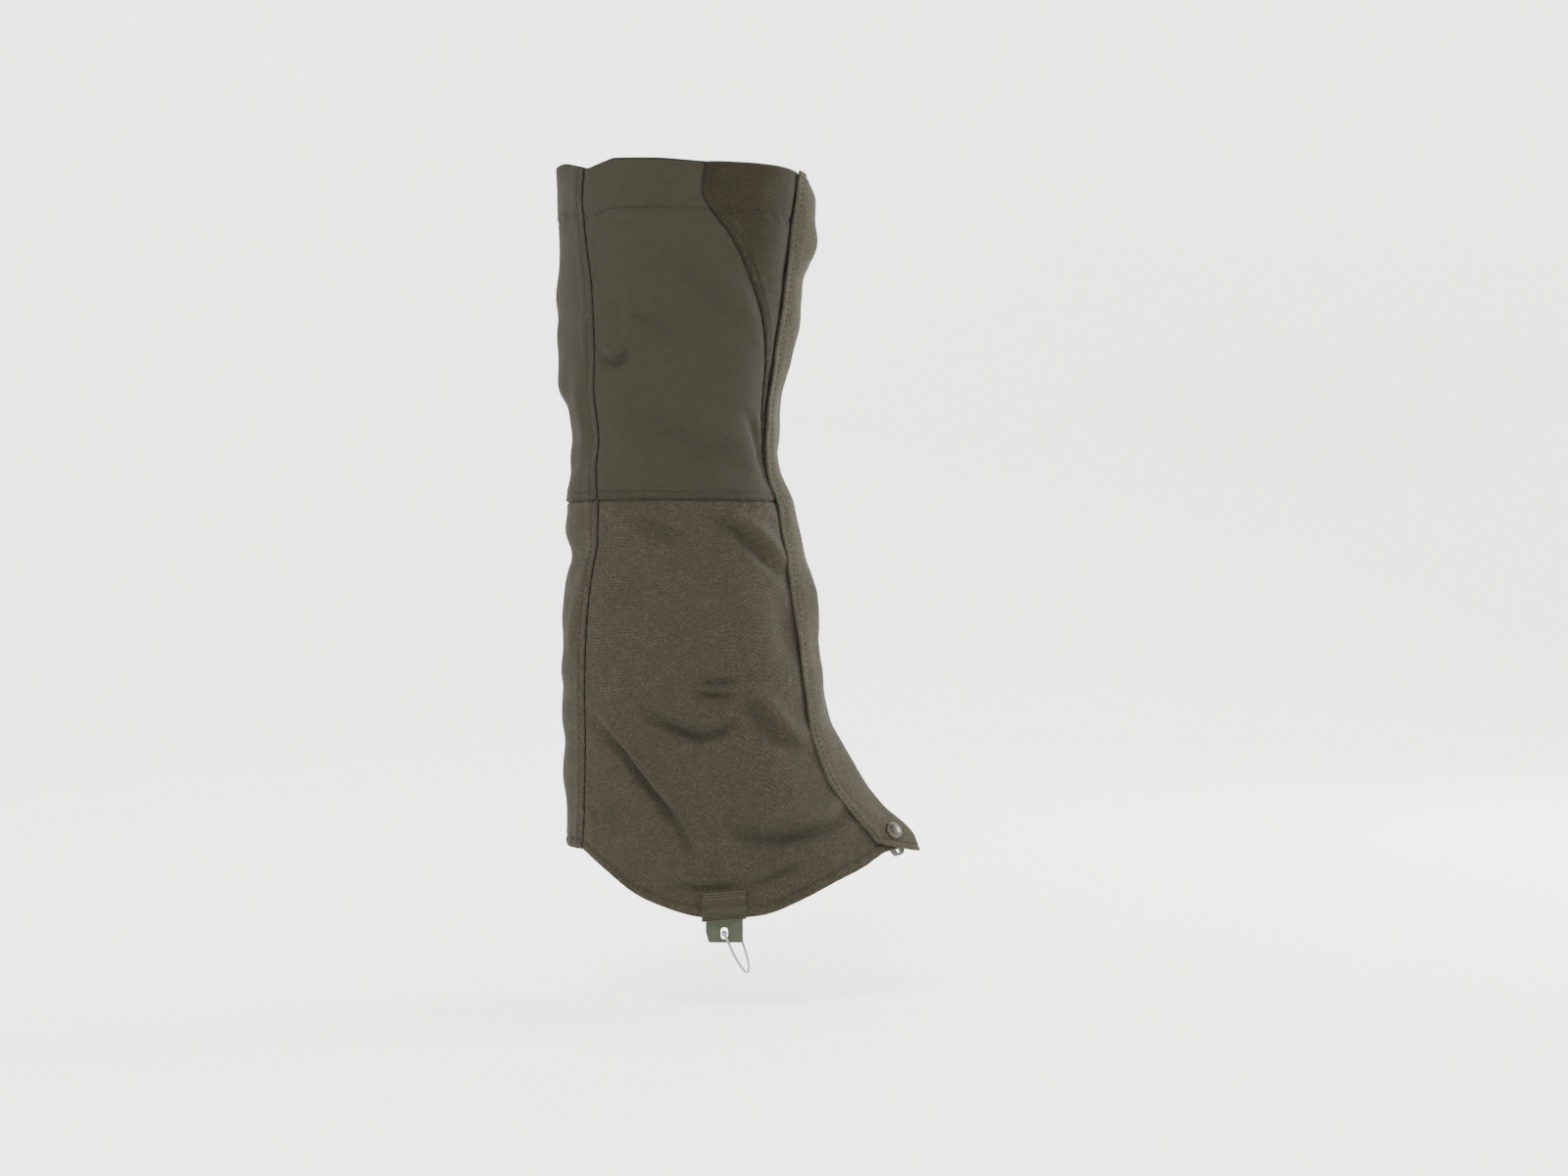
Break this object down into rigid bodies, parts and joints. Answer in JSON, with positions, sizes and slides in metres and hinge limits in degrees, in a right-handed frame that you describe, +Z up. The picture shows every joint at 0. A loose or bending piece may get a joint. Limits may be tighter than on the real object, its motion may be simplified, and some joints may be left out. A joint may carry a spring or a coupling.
{
  "type": "hiking gaiter",
  "caption": "Knee-high cloth gaiter that covers the lower leg and the top of a boot, with a front storm flap over a zip and a steel wire under the boot.",
  "frame": {"origin": "midway between the two wire tabs, level with the lowest point of the hem", "axes": "+X to the toe, +Z up the leg, +Y to the inner side of the leg"},
  "size_m": [0.2118, 0.122, 0.4606],
  "materials": {
    "smooth_cloth": "matt plain weave",
    "coarse_cloth": "matt coarse weave",
    "lining_cloth": "matt coated cloth",
    "elastic_tape": "ribbed elastic",
    "zip_tape": "woven tape",
    "hook_and_loop": "matt pile",
    "webbing": "ribbed webbing",
    "olive_plastic": "satin moulded",
    "coil_plastic": "satin",
    "bright_steel": "satin",
    "aged_metal": "antique"
  },
  "bodies": {
    "shell": {"outer_upper_panel": "smooth_cloth", "inner_upper_panel": "smooth_cloth", "back_upper_panel": "smooth_cloth", "outer_front_insert": "coarse_cloth", "inner_front_insert": "coarse_cloth", "outer_lower_panel": "coarse_cloth", "inner_lower_panel": "coarse_cloth", "back_lower_panel": "coarse_cloth", "lace_hook_patch": "coarse_cloth", "top_hem_facing": "lining_cloth", "outer_hem_facing": "lining_cloth", "inner_hem_facing": "lining_cloth", "back_hem_facing": "lining_cloth", "top_elastic": "elastic_tape", "ankle_elastic": "elastic_tape", "zip_tape_outer": "zip_tape", "zip_tape_inner": "zip_tape", "panel_loop_tape": "hook_and_loop", "outer_webbing_front": "webbing", "inner_webbing_front": "webbing", "outer_webbing_back": "webbing", "inner_webbing_back": "webbing", "outer_wire_tab": "olive_plastic", "inner_wire_tab": "olive_plastic", "zip_coil_outer": "coil_plastic", "zip_coil_inner": "coil_plastic", "zip_top_stop_outer": "aged_metal", "zip_top_stop_inner": "aged_metal", "zip_bottom_stop": "aged_metal", "snap_stud": "aged_metal", "snap_post": "aged_metal", "lace_hook": "aged_metal", "lace_hook_rivet": "aged_metal"},
    "flap": {"front_flap": "coarse_cloth", "flap_hook_tape": "hook_and_loop", "snap_cap": "aged_metal", "snap_socket": "aged_metal"},
    "zip_slider": {"zip_slider": "aged_metal"},
    "zip_puller": {"zip_puller": "aged_metal"},
    "foot_wire": {"underfoot_wire": "bright_steel", "outer_wire_ball": "bright_steel", "inner_wire_ball": "bright_steel"}
  },
  "joints": [
    {"name": "flap_open", "type": "hinge", "parent": "shell", "child": "flap", "pos_m": [0.069, 0.0275, 0.2265], "axis": [-0.1173, -0.0434, 0.9921], "range_deg": [0, 60]},
    {"name": "zip_travel", "type": "slide", "parent": "shell", "child": "zip_slider", "axis": [-0.1379, 0, -0.9904], "range_m": [0, 0.095]},
    {"name": "puller_swing", "type": "hinge", "parent": "zip_slider", "child": "zip_puller", "pos_m": [0.04116, 0, 0.40029], "axis": [0.9904, 0, -0.1379], "range_deg": [-18, 18]},
    {"name": "wire_swing", "type": "hinge", "parent": "shell", "child": "foot_wire", "pos_m": [0, 0, -0.01], "axis": [0, 1, 0], "range_deg": [-50, 75]}
  ]
}
